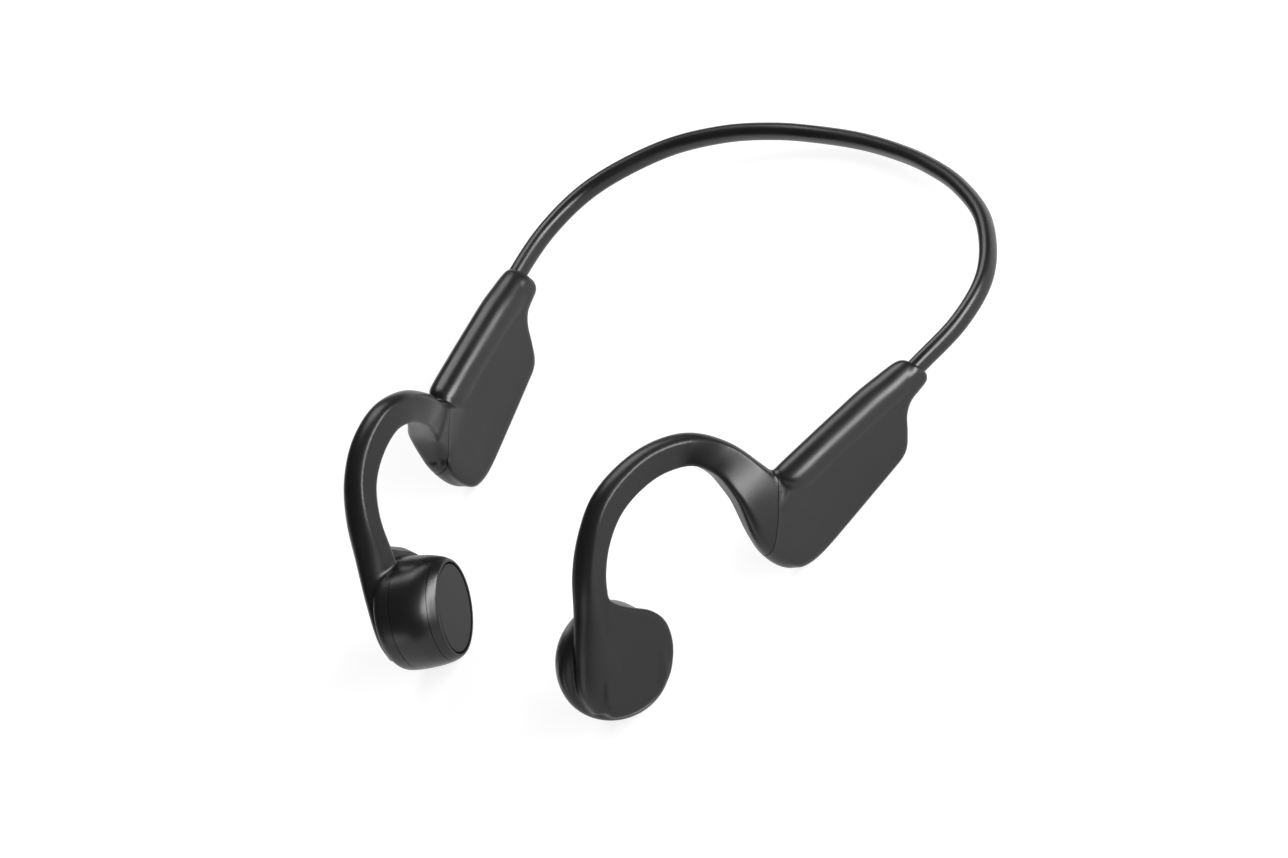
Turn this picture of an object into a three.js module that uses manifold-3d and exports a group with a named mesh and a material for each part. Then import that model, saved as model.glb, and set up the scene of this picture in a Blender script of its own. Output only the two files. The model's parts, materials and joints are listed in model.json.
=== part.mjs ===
// Bone conduction headphones: a sprung neckband, two pods with ear hooks, and two vibrating transducers.
// Millimetres. +X is the wearer's left, +Y points backwards, +Z is up, and the set stands on Z = 0.
import * as THREE from 'three';
import { mergeVertices } from 'three/addons/utils/BufferGeometryUtils.js';
import Module from 'manifold-3d';

const wasm = await Module();
wasm.setup();

// ---------------------------------------------------------------- driving dimensions
const FRAME_SHIFT_Y = 23.855; // moves the middle of the set's length to Y = 0
const GAP = 0.3; // clearance between pieces that lie against each other
const WALL = 1.3; // pod wall

// Neckband: an oval silicone sleeve over a sprung wire and a flat lead.
const BAND_HALF_HEIGHT = 2.35;
const BAND_HALF_WIDTH = 2.05;
const BAND_BORE_HALF_HEIGHT = 1.5;
const BAND_BORE_HALF_WIDTH = 0.8;
const BAND_WIRE_RADIUS = 0.5;
const BAND_CORE_OFFSET = 0.72; // wire below and lead above the middle of the bore
const BAND_CORE_START = 0.028; // the cores run on into the pod to this share of the whole band
const TAIL_HOLE_HALF_HEIGHT = 1.7; // passage for the cores through the pod's tail
const TAIL_HOLE_HALF_WIDTH = 1.0;
const TAIL_HOLE_START = 0.02;
const BAND_POINTS = [
  [76.9, -16, 14.4], [80.6, -0.6, 13.4], [82.8, 15, 11.1], [79.3, 28.8, 9.2], [65.2, 43.6, 7.4],
  [47.8, 51.9, 6.5], [30.1, 56.3, 5.6], [14.3, 58.5, 4.4], [0, 59.2, 4.1],
];
const FLEX_HINGE_FRACTION = 0.205; // where each arm flexes, along the whole band
const TAIL_FRACTION = 0.064; // where the sleeve leaves the pod
const CORE_END_CLEARANCE = 0.002; // share of the band that the cores stop short of a closed end

// Pods: a slab with flat cheeks, a round ridge on top and a scooped tail underneath.
const POD_HALF_THICKNESS = 4.9;
const POD_TOE_OUT = 0.244; // sideways run of the pod's middle plane per millimetre of length
const POD_MIDDLE_X = 79.27; // middle plane at Y = 0
const RIDGE_RADIUS = 4.3;
const KEEL_RADIUS = 2.4;
const POD_STATIONS = [ // Y, underside, ridge, half thickness
  [-57.0, 7.6, 11.2, 2.6], [-56.2, 4.8, 13.2, 3.9], [-54.4, 2.3, 15, 4.6],
  [-51.6, 0.5, 17.5, POD_HALF_THICKNESS], [-48.5, 0, 20, POD_HALF_THICKNESS],
  [-43.4, 0, 23.2, POD_HALF_THICKNESS], [-41.2, 0, 23.8, POD_HALF_THICKNESS],
  [-33, 0, 22.8, POD_HALF_THICKNESS], [-19.5, 0, 20.9, POD_HALF_THICKNESS],
  [-16.6, 0.9, 20.4, POD_HALF_THICKNESS], [-13.4, 4, 19.8, POD_HALF_THICKNESS],
  [-10.6, 7.2, 19.1, POD_HALF_THICKNESS], [-7.6, 8.9, 18.4, 5], [-1.4, 9.4, 16.9, 5], [-0.2, 10.2, 16.1, 4.2],
];
const CAVITY_FRONT_Y = -50;
const CAVITY_BACK_Y = -9;
const HEEL_CAVITY_Y = -42; // in front of this the pod's roof is thicker, for the hook's root
const HEEL_ROOF = 2.4; // roof over the heel's cavity, in pod walls
const COVER_TOP = 1.45; // thickness of the underside cover
const COVER_FRONT_Y = -48.4;
const SEAM_NOTCH = [-41.2, 23.9]; // Y and Z where the hook's seam leaves the ridge
const SEAM_FRONT = [-57.5, 11.5]; // Y and Z where it meets the front of the heel

// Ear hooks: middle line, half depth along the bend and half thickness across it.
const HOOK_STATIONS = [
  [67.6, -47.0, 11.0, 7.4, 4.7], [67.4, -47.2, 16.0, 8.2, 4.9], [64.8, -46.8, 24.8, 5.8, 4.8],
  [59.6, -46.5, 31.2, 4.6, 4.4], [54.6, -48.0, 37.0, 4.1, 4.0], [51.4, -52.9, 42.8, 4.1, 3.8],
  [49.7, -60, 46.4, 4.0, 3.8], [48.4, -68.6, 47.0, 3.9, 4.1], [47.0, -77, 44.1, 3.7, 4.5],
  [45.4, -84.2, 38.5, 3.8, 4.9], [43.8, -90, 30.7, 4.2, 5.2], [42.2, -95.1, 20.5, 5.4, 5.3],
  [41.0, -100.6, 8.6, 4.6, 4.9],
];
const HOOK_SECTION_POWER = 2.7;
const HOOK_BORE_HALF_DEPTH = 1.6; // passage for the spine wire and the lead
const HOOK_BORE_HALF_THICKNESS = 0.85;
const HOOK_WIRE_RADIUS = 0.45;
const HOOK_WIRE_OFFSET = 0.75; // wire below and lead above the hook's middle line

// Transducers: an oval barrel whose inner end carries the contact pad.
const BARREL_FACE = [30.4, -89.9, 11.85]; // middle of the contact pad
const BARREL_YAW = 26; // degrees that the pad turns back from straight across the head
const BARREL_PITCH = -12; // degrees that the pad looks down
const BARREL_TILT = 50; // degrees that the ovals' long axis leans back from upright, in line with the hook
const BARREL_PROFILE = [ // depth from the pad face, half width, half height along the leaning axis
  [-16, 12.6, 12.3], [-15.6, 13.3, 13.2], [-14.4, 13.9, 13.9], [-11.8, 13.9, 14.0], [-6, 13.0, 13.7],
  [-3.6, 12.0, 13.3], [-2, 10.9, 12.9], [-0.8, 9.8, 12.5], [0, 9.0, 11.9],
];
const BARREL_SPLIT = -10.8; // the inner case starts here, the hook's shell ends here
const BEZEL_DEPTH = 1.8;
const PAD_HALF_WIDTH = 8;
const PAD_HALF_HEIGHT = 10.95;
const PAD_THICKNESS = 1.5;

// The motor inside the barrel: depths are counted from the pad face.
const MOTOR_BORE_RADIUS = 8.4;
const MOTOR_BORE_DEPTH = -12.6;
const LEAD_HOLE_RADIUS = 1.6;
const LEAD_HOLE_DEPTH = -14.6;
const YOKE = { radius: 7.9, wall: 0.7, low: -9.8, floor: -8.9, high: -3.4 };
const MAGNET = { radius: 5.2, low: -8.6, high: -5.6 };
const POLE_PLATE = { radius: 5.2, low: -5.3, high: -4.3 };
const DRIVE_PLATE = { radius: 6.7, low: -2.2, high: -PAD_THICKNESS - GAP };
const VOICE_COIL = { inner: 5.9, outer: 6.7, low: -6.6, high: -2.5 };
const LEAF_SPRING = { inner: 7.1, outer: 8.1, low: -2.9, high: -2.5 };

// Underside controls of the right pod: places along the pod, counted from its tail.
const KEY_HALF_WIDTH = 1.7;
const KEY_HALF_LENGTH = 3;
const KEY_RECESS = 0.25; // the keys sit this far inside the cover's face
const KEY_LIP = 0.6;
const KEY_LIP_BASE = 1.75;
const KEY_LIP_THICKNESS = 0.5;
const KEY_TRAVEL = 0.5;
const KEY_PLACES = [['power', -43.2], ['volume_up', -33.9], ['volume_down', -26.2]];
const LIGHT_PLACE = -38.5;
const MICROPHONE_PLACE = -20.2;
const LIGHT_RADIUS = 0.6;
const SOUND_HOLE_RADIUS = 0.5;
const MICROPHONE_RADIUS = 1.9;
const SWITCH = { halfAcross: 1.6, halfAlong: 1.8, height: 1.3 };

// What the pods hold: ranges across, along and up in the pod's own axes.
const BOARD = { across: [1.2, 2.2], along: [-46, -22.6], up: [4.7, 17.2] };
const RADIO_MODULE = { across: [-1.3, 0.9], along: [-40, -29], up: [7.5, 16] };
const SCREW_PROFILE = [[0, 0], [0.5, 0], [0.5, 1.6], [1, 1.6], [1, 2.3], [0, 2.3]]; // radius, height
const SCREW_PLACES = [[-44.2, 14.6], [-24.4, 14.6]]; // along and up
const SCREW_START = 2.7; // across
const SCREW_HOLE_RADIUS = 0.8;
const BATTERY = { width: 5.4, height: 13.5, corner: 2.0, halfLength: 13, middle: -29, level: 10.2 };
const BATTERY_CIRCUIT = { across: [-2.2, 2.2], along: [-15.2, -14.2], up: [8.2, 16] };

// Charging socket in the scooped tail: middle of the slope, and the slope's angle.
const SOCKET_PLACE = [-12.85, 5.25];
const SOCKET_ANGLE = 45.5;
const FLAP_LENGTH = 10.2;
const FLAP_WIDTH = 4.6;
const FLAP_THICKNESS = 1;
const SOCKET_WIDTH = 3.2;
const SOCKET_LENGTH = 8.9;
const SOCKET_DEPTH = 6.4;
const SOCKET_WALL = 0.3;
const SOCKET_START = 1.6; // depth of the socket's mouth under the scoop's slope

// ---------------------------------------------------------------- materials
const plastic = (color, roughness) => new THREE.MeshStandardMaterial({ color, roughness, metalness: 0 });
const metal = (color, roughness) => new THREE.MeshStandardMaterial({ color, roughness, metalness: 1 });
const FINISH = {
  silicone: plastic(0x1d1d20, 0.62),
  satin: plastic(0x2a2a2d, 0.42),
  gloss: plastic(0x151517, 0.18),
  pad: plastic(0x3a3a3c, 0.7),
  wire: metal(0xb9b4a8, 0.3),
  lead: plastic(0x3c2f2a, 0.5),
  steel: metal(0xa9adb2, 0.35),
  magnet: metal(0x8d8f94, 0.25),
  copper: metal(0xb5683a, 0.35),
  board: plastic(0x123f2a, 0.5),
  chip: plastic(0x17181a, 0.4),
  foil: metal(0xc4c7cb, 0.45),
  light: plastic(0xe6e8ea, 0.3),
};

// ---------------------------------------------------------------- geometry helpers
const MERGE_DISTANCE = 1e-4;

function signedVolume(points, faces) {
  const cross = new THREE.Vector3();
  return faces.reduce((sum, [a, b, c]) => sum + points[a].dot(cross.crossVectors(points[b], points[c])), 0);
}

function closedGeometry(points, faces) {
  const flip = signedVolume(points, faces) < 0;
  const geometry = new THREE.BufferGeometry();
  const numbers = points.flatMap((point) => point.toArray());
  geometry.setAttribute('position', new THREE.Float32BufferAttribute(numbers, 3));
  geometry.setIndex(faces.flatMap(([a, b, c]) => (flip ? [a, c, b] : [a, b, c])));
  return geometry;
}

function wallFaces(rings, count, start) {
  const faces = [];
  for (let i = 0; i < rings - 1; i += 1) {
    for (let j = 0; j < count; j += 1) {
      const a = start + i * count + j;
      const b = start + i * count + ((j + 1) % count);
      faces.push([a, b, a + count], [b, b + count, a + count]);
    }
  }
  return faces;
}

// A closed skin over a row of rings, with flat ends.
function loft(rings) {
  const count = rings[0].length;
  const last = (rings.length - 1) * count;
  const faces = wallFaces(rings.length, count, 0);
  for (let j = 1; j < count - 1; j += 1) {
    faces.push([0, j + 1, j], [last, last + j, last + j + 1]);
  }
  return closedGeometry(rings.flat(), faces);
}

// A tube: an outer and an inner row of rings, joined at both ends.
function sleeve(outer, inner) {
  const count = outer[0].length;
  const offset = outer.length * count;
  const last = (outer.length - 1) * count;
  const faces = wallFaces(outer.length, count, 0);
  faces.push(...wallFaces(inner.length, count, offset).map(([a, b, c]) => [a, c, b]));
  for (let j = 0; j < count; j += 1) {
    const k = (j + 1) % count;
    faces.push([j, offset + j, offset + k], [j, offset + k, k]);
    faces.push([last + j, last + k, offset + last + k], [last + j, offset + last + k, offset + last + j]);
  }
  return closedGeometry([...outer.flat(), ...inner.flat()], faces);
}

function ovalRing(centre, up, side, halfUp, halfSide, count, power = 2) {
  return Array.from({ length: count }, (_, j) => {
    const angle = (2 * Math.PI * (j + 0.5)) / count;
    const shape = (value) => Math.sign(value) * Math.abs(value) ** (2 / power);
    return centre.clone()
      .addScaledVector(up, halfUp * shape(Math.cos(angle)))
      .addScaledVector(side, halfSide * shape(Math.sin(angle)));
  });
}

// Directions at one point of a path: "side" stays close to a fixed direction, "up" is square to both.
function pathFrame(curve, t, fixedSide) {
  const along = curve.getTangent(t);
  const side = fixedSide.clone().addScaledVector(along, -fixedSide.dot(along)).normalize();
  return { centre: curve.getPoint(t), side, up: new THREE.Vector3().crossVectors(along, side) };
}

function bareCopy(geometry) {
  const copy = geometry.clone();
  copy.deleteAttribute('normal');
  copy.deleteAttribute('uv');
  return copy;
}

function toSolid(geometry) {
  const merged = mergeVertices(bareCopy(geometry), MERGE_DISTANCE);
  const vertProperties = new Float32Array(merged.attributes.position.array);
  const triVerts = new Uint32Array(merged.index.array);
  return new wasm.Manifold(new wasm.Mesh({ numProp: 3, vertProperties, triVerts }));
}

function toGeometry(solid) {
  const mesh = solid.getMesh();
  const geometry = new THREE.BufferGeometry();
  geometry.setAttribute('position', new THREE.Float32BufferAttribute(mesh.vertProperties, 3));
  geometry.setIndex(Array.from(mesh.triVerts));
  return geometry;
}

function boxSolid(low, high) {
  const size = high.map((value, axis) => value - low[axis]);
  const geometry = new THREE.BoxGeometry(...size);
  geometry.translate(...high.map((value, axis) => (value + low[axis]) / 2));
  return toSolid(geometry);
}

// A large block on one side of a plane that runs straight across X.
function blockAbovePlane([y1, z1], [y2, z2], lift) {
  const block = new THREE.BoxGeometry(200, 200, 100);
  block.translate(0, 0, 50 + lift);
  block.rotateX(Math.atan2(z1 - z2, y1 - y2));
  block.translate(0, (y1 + y2) / 2, (z1 + z2) / 2);
  return toSolid(block);
}

function mirrorAcrossX(geometry) {
  const copy = geometry.index ? geometry.toNonIndexed() : geometry.clone();
  copy.scale(-1, 1, 1);
  const position = copy.attributes.position;
  const swap = new THREE.Vector3();
  const hold = new THREE.Vector3();
  for (let i = 0; i < position.count; i += 3) {
    swap.fromBufferAttribute(position, i + 1);
    hold.fromBufferAttribute(position, i + 2);
    position.setXYZ(i + 1, hold.x, hold.y, hold.z);
    position.setXYZ(i + 2, swap.x, swap.y, swap.z);
  }
  return mergeVertices(bareCopy(copy), MERGE_DISTANCE);
}

const headphones = new THREE.Group();
headphones.position.y = FRAME_SHIFT_Y;

function addMesh(name, geometry, finish, parent = headphones) {
  const mesh = new THREE.Mesh(geometry, FINISH[finish]);
  mesh.name = name;
  parent.add(mesh);
  return mesh;
}

// ---------------------------------------------------------------- neckband
const leftHalf = BAND_POINTS.map((point) => new THREE.Vector3(...point));
const rightHalf = leftHalf.slice(0, -1).reverse().map((point) => new THREE.Vector3(-point.x, point.y, point.z));
const bandCurve = new THREE.CatmullRomCurve3([...leftHalf, ...rightHalf], false, 'centripetal');
bandCurve.arcLengthDivisions = 600;
const BAND_LENGTH = bandCurve.getLength();
const UP = new THREE.Vector3(0, 0, 1);

// Rings along the band from one share of its length to another, with an optional rounded last end.
function bandRings(from, to, steps, halfHeight, halfWidth, count, roundEnd = false, offset = 0) {
  const shares = Array.from({ length: steps + 1 }, (_, i) => from + ((to - from) * i) / steps);
  const rings = shares.map((share) => bandRing(share, halfHeight, halfWidth, count, offset));
  if (roundEnd) {
    for (const turn of [0.45, 0.8, 1.15, 1.45]) {
      const share = to + (Math.sin(turn) * halfWidth) / BAND_LENGTH;
      const narrow = Math.cos(turn);
      rings.push(bandRing(share, halfHeight * narrow ** 0.5, halfWidth * narrow, count, offset));
    }
  }
  return rings;
}

function bandRing(share, halfHeight, halfWidth, count, offset) {
  const t = bandCurve.getUtoTmapping(share);
  const { centre, side, up } = pathFrame(bandCurve, t, UP);
  centre.addScaledVector(side, offset);
  return ovalRing(centre, side, up, halfHeight, halfWidth, count);
}

const hingeShare = FLEX_HINGE_FRACTION;
const backStart = hingeShare + (BAND_HALF_WIDTH + GAP) / BAND_LENGTH;
const outerBack = bandRings(backStart, 1 - backStart, 26, BAND_HALF_HEIGHT, BAND_HALF_WIDTH, 10);
const innerBack = bandRings(backStart, 1 - backStart, 26, BAND_BORE_HALF_HEIGHT, BAND_BORE_HALF_WIDTH, 10);
addMesh('band_back_sleeve', sleeve(outerBack, innerBack), 'silicone');

function bandCore(from, to, steps, offset) {
  return loft(bandRings(from, to, steps, BAND_WIRE_RADIUS, BAND_WIRE_RADIUS, 5, false, offset));
}
addMesh('band_back_wire', bandCore(backStart, 1 - backStart, 22, -BAND_CORE_OFFSET), 'wire');
addMesh('band_back_lead', bandCore(backStart, 1 - backStart, 22, BAND_CORE_OFFSET), 'lead');

function armBand() {
  const boreEnd = hingeShare - CORE_END_CLEARANCE;
  const coreEnd = boreEnd - CORE_END_CLEARANCE;
  const outer = bandRings(TAIL_FRACTION, hingeShare, 8, BAND_HALF_HEIGHT, BAND_HALF_WIDTH, 10, true);
  const bore = bandRings(TAIL_HOLE_START, boreEnd, 8, BAND_BORE_HALF_HEIGHT, BAND_BORE_HALF_WIDTH, 8);
  return {
    sleeve: toGeometry(toSolid(loft(outer)).subtract(toSolid(loft(bore)))),
    wire: bandCore(BAND_CORE_START, coreEnd, 8, -BAND_CORE_OFFSET),
    lead: bandCore(BAND_CORE_START, coreEnd, 8, BAND_CORE_OFFSET),
  };
}

// ---------------------------------------------------------------- pod and ear hook
function podRing(y, underside, ridge, halfThickness) {
  const middle = POD_MIDDLE_X + POD_TOE_OUT * y;
  const height = ridge - underside;
  const top = Math.min(RIDGE_RADIUS, halfThickness - 0.1, height * 0.48);
  const keel = Math.min(KEEL_RADIUS, halfThickness - 0.1, height * 0.4);
  const corners = [ // sideways sign, corner height, radius, first angle, arc steps
    [1, ridge - top, top, 0, 5], [-1, ridge - top, top, 90, 5],
    [-1, underside + keel, keel, 180, 3], [1, underside + keel, keel, 270, 3],
  ];
  const ring = [];
  for (const [sign, level, radius, first, steps] of corners) {
    for (let i = 0; i <= steps; i += 1) {
      const angle = THREE.MathUtils.degToRad(first + (90 * i) / steps);
      const across = sign * (halfThickness - radius) + radius * Math.cos(angle);
      ring.push(new THREE.Vector3(middle + across, y, level + radius * Math.sin(angle)));
    }
  }
  return ring;
}

function podBody() {
  return toSolid(loft(POD_STATIONS.map((station) => podRing(...station))));
}

function podCavity() {
  const stations = POD_STATIONS.filter(([y]) => y > CAVITY_FRONT_Y && y < CAVITY_BACK_Y);
  return toSolid(loft(stations.map(([y, underside, ridge, half]) => {
    const roof = y < HEEL_CAVITY_Y ? HEEL_ROOF * WALL : WALL;
    return podRing(y, underside + WALL, ridge - roof, half - WALL);
  })));
}

const hookCurve = new THREE.CatmullRomCurve3(HOOK_STATIONS.map(([x, y, z]) => new THREE.Vector3(x, y, z)));
const ACROSS = new THREE.Vector3(1, 0, 0);

function hookRings(steps, from, to, size, count, power, offset = 0) {
  return Array.from({ length: steps + 1 }, (_, i) => {
    const t = from + ((to - from) * i) / steps;
    const place = t * (HOOK_STATIONS.length - 1);
    const index = Math.min(Math.floor(place), HOOK_STATIONS.length - 2);
    const { centre, side, up } = pathFrame(hookCurve, t, ACROSS);
    const [halfUp, halfSide] = size ?? [3, 4].map((column) => THREE.MathUtils.lerp(
      HOOK_STATIONS[index][column], HOOK_STATIONS[index + 1][column], place - index));
    centre.addScaledVector(up, offset);
    return ovalRing(centre, up, side, halfUp, halfSide, count, power);
  });
}

// ---------------------------------------------------------------- transducer
const yaw = THREE.MathUtils.degToRad(BARREL_YAW);
const pitch = THREE.MathUtils.degToRad(BARREL_PITCH);
const padNormal = new THREE.Vector3(
  -Math.cos(yaw) * Math.cos(pitch), Math.sin(yaw) * Math.cos(pitch), Math.sin(pitch));
const padUp = UP.clone().addScaledVector(padNormal, -UP.dot(padNormal)).normalize()
  .applyAxisAngle(padNormal, THREE.MathUtils.degToRad(BARREL_TILT));
const padSide = new THREE.Vector3().crossVectors(padUp, padNormal);
const padCentre = new THREE.Vector3(...BARREL_FACE);

function ovalStack(layers, count = 20) {
  return loft(layers.map(([depth, halfWidth, halfHeight]) => {
    const centre = padCentre.clone().addScaledVector(padNormal, depth);
    return ovalRing(centre, padUp, padSide, halfHeight, halfWidth, count);
  }));
}

// Turned parts of the motor: profiles of [radius, depth] spun about the barrel's axis.
function spun(profile, segments) {
  return new THREE.LatheGeometry(profile.map(([r, h]) => new THREE.Vector2(r, h)), segments);
}

function motorRing({ inner, outer, low, high }) {
  const profile = [[inner, low], [outer, low], [outer, high], [inner, high], [inner, low]];
  return placeOnBarrel(spun(profile, 16));
}

function motorDisc({ radius, low, high }, segments = 16) {
  return placeOnBarrel(spun([[0, low], [radius, low], [radius, high], [0, high]], segments));
}

function motorCup({ radius, wall, low, floor, high }) {
  const inner = radius - wall;
  const profile = [[0, low], [radius, low], [radius, high], [inner, high], [inner, floor], [0, floor]];
  return placeOnBarrel(spun(profile, 16));
}

function placeOnBarrel(geometry) {
  const matrix = new THREE.Matrix4().makeBasis(padSide, padNormal, padUp.clone());
  if (matrix.determinant() < 0) {
    matrix.makeBasis(padSide.clone().negate(), padNormal, padUp.clone());
  }
  matrix.setPosition(padCentre);
  return bareCopy(geometry).applyMatrix4(matrix);
}

function motorBore() {
  return toSolid(motorDisc({ radius: MOTOR_BORE_RADIUS, low: MOTOR_BORE_DEPTH, high: 3 }));
}

function transducerPieces() {
  const whole = toSolid(ovalStack(BARREL_PROFILE));
  const slab = (low, high) => toSolid(ovalStack([[low, 40, 40], [high, 40, 40]], 4));
  const opening = [PAD_HALF_WIDTH + GAP, PAD_HALF_HEIGHT + GAP];
  const padHole = toSolid(ovalStack([[-4, ...opening], [2, ...opening]], 24));
  const leadHole = toSolid(motorDisc({ radius: LEAD_HOLE_RADIUS, low: LEAD_HOLE_DEPTH, high: -9 }, 8));
  const caseSolid = whole.intersect(slab(BARREL_SPLIT, -BEZEL_DEPTH - GAP)).subtract(motorBore());
  const rearShell = whole.intersect(slab(-20, BARREL_SPLIT - GAP)).subtract(motorBore()).subtract(leadHole);
  return {
    rearShell,
    case: toGeometry(caseSolid),
    bezel: toGeometry(whole.intersect(slab(-BEZEL_DEPTH, 2)).subtract(padHole)),
    pad: ovalStack([
      [-PAD_THICKNESS, PAD_HALF_WIDTH, PAD_HALF_HEIGHT], [-0.25, PAD_HALF_WIDTH, PAD_HALF_HEIGHT],
      [0, PAD_HALF_WIDTH - 0.25, PAD_HALF_HEIGHT - 0.25],
    ], 24),
    yoke: motorCup(YOKE),
    magnet: motorDisc(MAGNET, 20),
    polePlate: motorDisc(POLE_PLATE, 20),
    drivePlate: motorDisc(DRIVE_PLATE),
    coil: motorRing(VOICE_COIL),
    leafSpring: motorRing(LEAF_SPRING),
  };
}

// ---------------------------------------------------------------- one arm, shaped for the wearer's left
function armPieces() {
  const transducer = transducerPieces();
  const band = armBand();
  const hook = toSolid(loft(hookRings(24, 0, 1, null, 14, HOOK_SECTION_POWER)));
  const passage = [HOOK_BORE_HALF_DEPTH, HOOK_BORE_HALF_THICKNESS];
  const core = toSolid(loft(hookRings(18, 0.05, 0.955, passage, 6, 2)));
  const thin = [HOOK_WIRE_RADIUS, HOOK_WIRE_RADIUS];
  const hookCore = (offset) => loft(hookRings(16, 0.075, 0.93, thin, 5, 2, offset));
  const motorRoom = toSolid(ovalStack([[BARREL_SPLIT - GAP, 30, 30], [12, 30, 30]], 4));
  const pod = podBody();
  const body = pod.add(hook);
  const aboveSeam = blockAbovePlane(SEAM_NOTCH, SEAM_FRONT, GAP / 2);
  const belowSeam = blockAbovePlane(SEAM_NOTCH, SEAM_FRONT, -GAP / 2);
  const tailHole = toSolid(loft(
    bandRings(TAIL_HOLE_START, TAIL_FRACTION + 0.01, 4, TAIL_HOLE_HALF_HEIGHT, TAIL_HOLE_HALF_WIDTH, 8)));
  const coverZone = boxSolid([40, COVER_FRONT_Y, -5], [100, 0, COVER_TOP]);
  const coverRoom = boxSolid([40, COVER_FRONT_Y - GAP, -5], [100, 0, COVER_TOP + GAP]);
  const hookBody = body.intersect(aboveSeam).add(transducer.rearShell);
  return {
    ...transducer,
    bandSleeve: band.sleeve,
    bandWire: band.wire,
    bandLead: band.lead,
    hook: toGeometry(hookBody.subtract(motorRoom).subtract(motorBore()).subtract(core)),
    shell: body.subtract(belowSeam).subtract(podCavity()).subtract(coverRoom).subtract(tailHole).subtract(core),
    cover: pod.intersect(coverZone),
    hookWire: hookCore(-HOOK_WIRE_OFFSET),
    hookLead: hookCore(HOOK_WIRE_OFFSET),
  };
}

// ---------------------------------------------------------------- what sits in the pods
const toeAngle = Math.atan(POD_TOE_OUT);
const podGroups = { left: new THREE.Group(), right: new THREE.Group() };
for (const [side, sign] of [['left', 1], ['right', -1]]) {
  podGroups[side].position.x = sign * POD_MIDDLE_X;
  podGroups[side].rotation.z = -sign * toeAngle;
  headphones.add(podGroups[side]);
}

// Moves a shape made in a pod's own axes (across, along, up) into the axes of the left arm.
function fromPodAxes(geometry) {
  const copy = geometry.clone();
  copy.rotateZ(-toeAngle);
  copy.translate(POD_MIDDLE_X, 0, 0);
  return copy;
}

function block({ across, along, up }) {
  const geometry = new THREE.BoxGeometry(across[1] - across[0], along[1] - along[0], up[1] - up[0]);
  geometry.translate((across[0] + across[1]) / 2, (along[0] + along[1]) / 2, (up[0] + up[1]) / 2);
  return geometry;
}

function uprightOval(place, layers, count) {
  const along = new THREE.Vector3(0, 1, 0);
  return loft(layers.map(([z, halfAcross, halfAlong]) => {
    const power = halfAlong > halfAcross ? 3 : 2;
    return ovalRing(new THREE.Vector3(0, place, z), along, ACROSS, halfAlong, halfAcross, count, power);
  }));
}

function keyGeometry(place) {
  const lipWidth = KEY_HALF_WIDTH + KEY_LIP;
  const lipLength = KEY_HALF_LENGTH + KEY_LIP;
  return uprightOval(place, [
    [KEY_RECESS, KEY_HALF_WIDTH - 0.2, KEY_HALF_LENGTH - 0.2],
    [KEY_RECESS + 0.2, KEY_HALF_WIDTH, KEY_HALF_LENGTH],
    [KEY_LIP_BASE, KEY_HALF_WIDTH, KEY_HALF_LENGTH],
    [KEY_LIP_BASE, lipWidth, lipLength],
    [KEY_LIP_BASE + KEY_LIP_THICKNESS, lipWidth, lipLength],
  ], 14);
}

function controlHoles() {
  const hole = (place, halfAcross, halfAlong, count) => toSolid(fromPodAxes(
    uprightOval(place, [[-2, halfAcross, halfAlong], [3, halfAcross, halfAlong]], count)));
  return [
    ...KEY_PLACES.map(([, place]) => hole(place, KEY_HALF_WIDTH + GAP, KEY_HALF_LENGTH + GAP, 14)),
    hole(LIGHT_PLACE, LIGHT_RADIUS + GAP, LIGHT_RADIUS + GAP, 8),
    hole(MICROPHONE_PLACE, SOUND_HOLE_RADIUS, SOUND_HOLE_RADIUS, 8),
  ];
}

// Axes of the charging socket: X across the pod, Y up the slope, Z out of the scoop.
function placeInScoop(geometry) {
  const slope = THREE.MathUtils.degToRad(SOCKET_ANGLE);
  const upSlope = new THREE.Vector3(0, Math.cos(slope), Math.sin(slope));
  const outward = new THREE.Vector3(0, Math.sin(slope), -Math.cos(slope));
  const matrix = new THREE.Matrix4().makeBasis(ACROSS.clone().negate(), upSlope, outward);
  matrix.setPosition(0, ...SOCKET_PLACE);
  return geometry.applyMatrix4(matrix);
}

function roundedOutline(width, length, radius, Kind = THREE.Shape) {
  const outline = new Kind();
  const x = width / 2 - radius;
  const y = length / 2 - radius;
  outline.absarc(x, y, radius, 0, Math.PI / 2);
  outline.absarc(-x, y, radius, Math.PI / 2, Math.PI);
  outline.absarc(-x, -y, radius, Math.PI, 1.5 * Math.PI);
  outline.absarc(x, -y, radius, 1.5 * Math.PI, 2 * Math.PI);
  return outline;
}

function extrude(shape, from, to, curveSegments = 3) {
  const geometry = new THREE.ExtrudeGeometry(shape, { depth: to - from, bevelEnabled: false, curveSegments });
  geometry.translate(0, 0, from);
  return geometry;
}

function socketGeometry() {
  const outline = roundedOutline(SOCKET_WIDTH, SOCKET_LENGTH, 1.4);
  const inside = [SOCKET_WIDTH - 2 * SOCKET_WALL, SOCKET_LENGTH - 2 * SOCKET_WALL];
  outline.holes.push(roundedOutline(...inside, 1.4 - SOCKET_WALL, THREE.Path));
  return placeInScoop(extrude(outline, -SOCKET_START - SOCKET_DEPTH, -SOCKET_START));
}

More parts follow.
